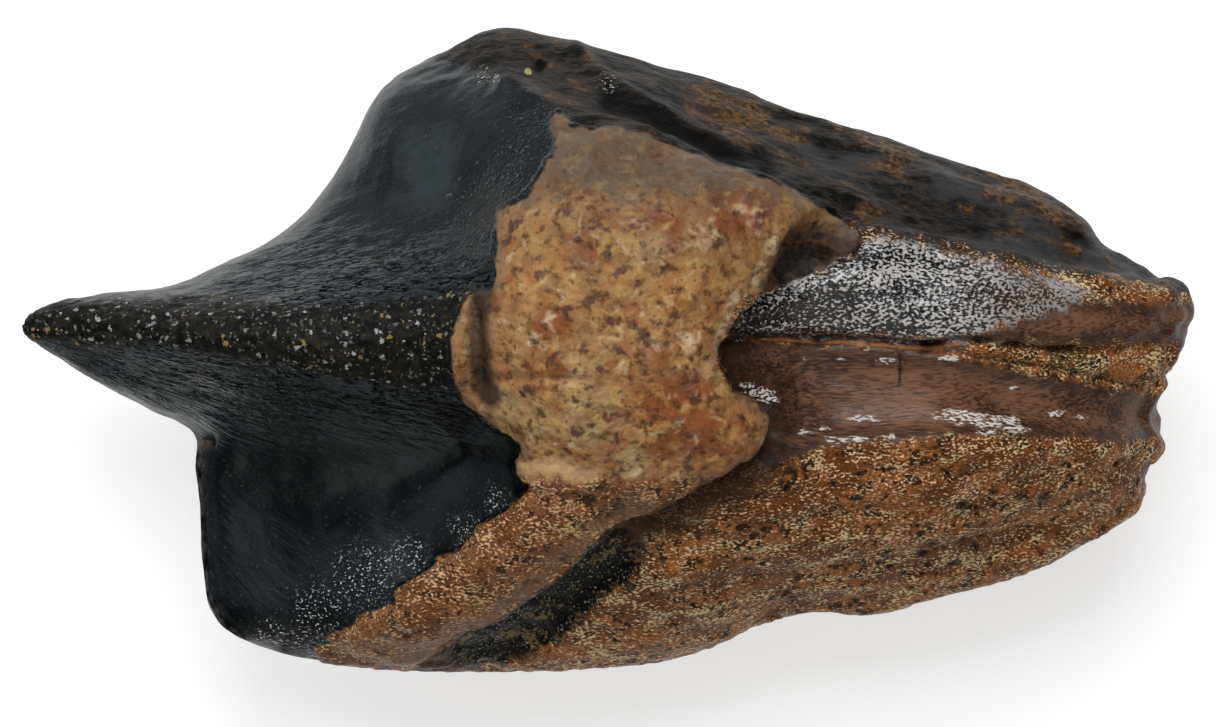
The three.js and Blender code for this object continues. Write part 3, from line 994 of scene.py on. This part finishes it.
flakes = clouds(0.32, stretch=(1.6, 1, 1), detail=3, rough=0.65)
sheen = broad + 0.6 * ragged + 0.07 * (place_x - SHEEN_MIDDLE)
rust = (field("rust") + 1.2 * ragged + 3 * (clouds(1.3, detail=1) - 0.5)).eased(0.2, 0.9)
rust_grain = clouds(0.28, detail=3, rough=0.7).eased(0.38, 0.66)
wall_colour = stains_and_painted_light(
    mix((flakes + 0.15 * field("streaks")).eased(0.40, 0.66), tint(12, 11, 10), tint(52, 45, 38)),
    # painted grey sheen, growing to the right
    (sheen.eased(0, 0.6) * 0.7, tint(64, 65, 66)),
    (rust * 0.85, mix(rust_grain, tint(44, 33, 22), tint(124, 90, 50))),
    # painted shade along the wall's foot
    ((0.9 - field("wall_foot")).eased(0, 0.7) * 0.9, tint(9, 8, 8)),
    # painted shade in the hole
    (field("holes").eased(0.3, 0.7), tint(8, 7, 6)),
    (field("yellow_grain").eased(0.3, 0.5), tint(176, 164, 108)),
    # painted glints where the wall sparkles
    (painted_glints(0.11), tint(186, 180, 172)),
)
wall = finish(wall_colour, 0.45, 0.12 * flakes, gloss=0.05)
print("with the wall there are", len(Wire.tree.nodes), "nodes")

# %% Hollow beside the tail
hollow_grain = clouds(0.2, detail=2, rough=0.6) + 0.9 * (clouds(1.0, detail=1) - 0.5)
hollow_colour = stains_and_painted_light(
    # near-black ground: partly the hollow's own black, partly painted shadow under the tail's edge
    mix(hollow_grain.eased(0.60, 0.70) * 0.85, tint(11, 11, 8), tint(122, 104, 62)),
    # white specks: partly grains, partly painted glints
    (clouds(0.11, detail=1).eased(0.66, 0.70) * 0.8, tint(190, 186, 172)),
)
hollow = finish(hollow_colour, 0.3, 0.08 * hollow_grain, gloss=0.1)
print("with the hollow there are", len(Wire.tree.nodes), "nodes")

# %% [markdown]
# ## The worn back
# Cheek teeth shear against each other until they have a flat facet of dentine, brown and scratched
# across. It is out of sight here, but a tooth gets picked up and turned over, so it has a finish of
# its own.

# %% Worn back
scratches = clouds(0.25, stretch=(1, 9, 1), detail=2)
facet_colour = mix(clouds(2.2, detail=2).eased(0.35, 0.65), tint(84, 62, 44), tint(142, 110, 76))
facet_colour = mix(scratches.eased(0.55, 0.70) * 0.5, facet_colour, tint(58, 43, 31))
facet = finish(facet_colour, 0.32, 0.02 * scratches, gloss=0.4)
print("with the facet there are", len(Wire.tree.nodes), "nodes")

# %% [markdown]
# ## One skin
# The finishes are laid over each other from the root up, the way the tooth is built: root, then the
# enamel over it, then the crust over both. A mask is the area's distance with some noise added, so
# that edges are ragged.

# %% Join the finishes
TAIL_TOP = -5.2  # mm, the y where the neck narrows to its tail

layers = [
    # finish, its area, where that starts and is full, raggedness
    (channel, "smooth", -0.1, 0.35, 0.9),
    (lobe, "lobe", -0.1, 0.5, 1.2),
    (wall, "wall", -0.2, 0.3, 1.4),
    (hollow, "tail_hollow", -0.3, 0.4, 1.8),
    (facet, "worn", 0.3, 0.7, 0.5),
    (enamel, "enamel", -0.1, 0.1, 0.9),
    (gritty, "gritty", -0.6, 0.4, 1.2),
    (keel, "grained", -0.1, 0.3, 1.0),
]
skin = root
for above, area, low, high, raggedness in layers:
    share = (field(area) + raggedness * ragged).eased(low, high)
    skin = Wire.node("ShaderNodeMixShader", None, {0: share, 1: skin, 2: above})
tail_share = (TAIL_TOP - place_y + 1.5 * ragged).eased(0, 0.8)
neck_and_tail = Wire.node("ShaderNodeMixShader", None, {0: tail_share, 1: neck, 2: tail})
crust_share = (field("crust") + 0.4 * ragged).eased(-0.06, 0.10)
skin = Wire.node("ShaderNodeMixShader", None, {0: crust_share, 1: skin, 2: neck_and_tail})
use_surface(skin)
tooth.data.materials.clear()
tooth.data.materials.append(fossil)
print("material has", len(Wire.tree.nodes), "nodes")

# %% [markdown]
# ## Tie the mesh to the frame
# The carved tooth stands for the frame's node, and moves with its only body.

# %% Ride on the frame
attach(tooth, "root")
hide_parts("tooth")
print(tooth.name, "stands for the frame's tooth")

# %% [markdown]
# ## The floor and the light
# The tooth is seen from straight above, on a pale floor. Polished black enamel mirrors whatever is
# white around it, so the floor is white only where the picture needs it and fades to a light grey
# outside. For the same reason there is only one lamp, a window that leans in from the far side and
# brings out the relief. The rest of the room is a sky with broad glows that have no edges to mirror:
# cool ones on the left give the enamel its sheen, and a warm one fills in from the near side.

# %% Floor
FLOOR_HALF = 0.6  # metres
POOL = (36 * MM, 23.5 * MM)  # half of the white oval's length and width
POOL_FADE = 2.0  # ovals out from the middle, where the white has faded away
POOL_PAINT, OUTER_PAINT = (0.6, 0.6, 0.6, 1), (0.42, 0.42, 0.42, 1)
POOL_GLOW = 0.6  # what the oval shines by itself, so that shadows on it stay pale

floor_mesh = bpy.data.meshes.new("floor")
corners = [(x * FLOOR_HALF, y * FLOOR_HALF, 0) for x, y in ((-1, -1), (1, -1), (1, 1), (-1, 1))]
floor_mesh.from_pydata(corners, [], [(0, 1, 2, 3)])
floor_mesh.materials.append(new_material("floor"))
floor_place = Wire.node("ShaderNodeTexCoord", output="Object")
ovals = Wire.node("ShaderNodeVectorMath", {"operation": "DIVIDE"}, {0: floor_place, 1: (*POOL, 1)})
ovals_out = Wire.node("ShaderNodeVectorMath", {"operation": "LENGTH"}, {0: ovals}, "Value")
faded = ovals_out.eased(1, POOL_FADE)
floor_sockets = {
    "Base Color": mix(faded, POOL_PAINT, OUTER_PAINT),
    "Roughness": 0.9,
    "Emission Color": mix(faded, (1, 1, 1, 1), (0, 0, 0, 1)),
    "Emission Strength": POOL_GLOW,
}
use_surface(Wire.node("ShaderNodeBsdfPrincipled", None, floor_sockets))
floor = bpy.data.objects.new("floor", floor_mesh)
scene.collection.objects.link(floor)
print("floor is", 2 * FLOOR_HALF, "m wide")


# %% Lamp and sky
def towards(tilt, bearing):
    """A direction that leans from the zenith by a tilt, to a bearing counted from +X, in degrees."""
    lean, turn = math.radians(tilt), math.radians(bearing)
    return Vector((math.sin(lean) * math.cos(turn), math.sin(lean) * math.sin(turn), math.cos(lean)))


WINDOW_AWAY = 0.40  # metres
WINDOW_SIZE = 0.24  # metres
WINDOW_LEAN = (29, 90)  # tilt and bearing
WINDOW_POWER = 0.96  # watts
SKY = (0.03, 0.03, 0.03, 1)
GLOWS = [
    # tilt, bearing, how far it spreads in degrees, and its light
    (60, -78, 50, (0.80, 0.78, 0.74, 1)),
    (54, 130, 50, (1.05, 1.12, 1.17, 1)),
    (18, 225, 25, (0.55, 0.59, 0.63, 1)),
    (66, 180, 34, (0.42, 0.45, 0.48, 1)),
]

light = bpy.data.lights.new("window", "AREA")
light.shape = "SQUARE"
light.size = WINDOW_SIZE
light.energy = WINDOW_POWER
lamp = bpy.data.objects.new("window", light)
lamp.location = WINDOW_AWAY * towards(*WINDOW_LEAN)
lamp.rotation_euler = lamp.location.to_track_quat("Z", "Y").to_euler()
scene.collection.objects.link(lamp)

sky = bpy.data.worlds.new("sky")
sky.use_nodes = True
Wire.tree = sky.node_tree
gaze = Wire.node("ShaderNodeTexCoord", output="Generated")
sky_colour = SKY
for tilt, bearing, spread, glow in GLOWS:
    aim = {0: gaze, 1: towards(tilt, bearing)}
    nearness = Wire.node("ShaderNodeVectorMath", {"operation": "DOT_PRODUCT"}, aim, "Value")
    sky_colour = mix(nearness.eased(math.cos(math.radians(spread)), 1), sky_colour, glow)
Wire.tree.links.new(sky_colour.socket, Wire.tree.nodes["Background"].inputs["Color"])
scene.world = sky
scene.view_settings.view_transform = "Standard"
print("sky has", len(GLOWS), "glows, and the window is at", [round(c, 3) for c in lamp.location])

# %% [markdown]
# ## The camera
# It looks straight down. A long lens keeps the outline true, because the tooth is 20 mm deep and a
# short lens would swell the neck against the rest. The width of the picture is known in millimetres,
# so the distance follows from the lens.

# %% Camera
PICTURE_WIDTH = 53.1 * MM  # how much of the tooth's girdle plane the picture spans
PICTURE_MIDDLE = (0.07 * MM, -0.59 * MM)
GIRDLE_HEIGHT = 8 * MM
LENS = 400  # mm

lens = bpy.data.cameras.new("camera")
lens.lens = LENS
away = PICTURE_WIDTH * LENS / lens.sensor_width
camera = bpy.data.objects.new("camera", lens)
camera.location = (*PICTURE_MIDDLE, GIRDLE_HEIGHT + away)
scene.collection.objects.link(camera)
scene.camera = camera
print("camera is", round(away, 3), "m away")
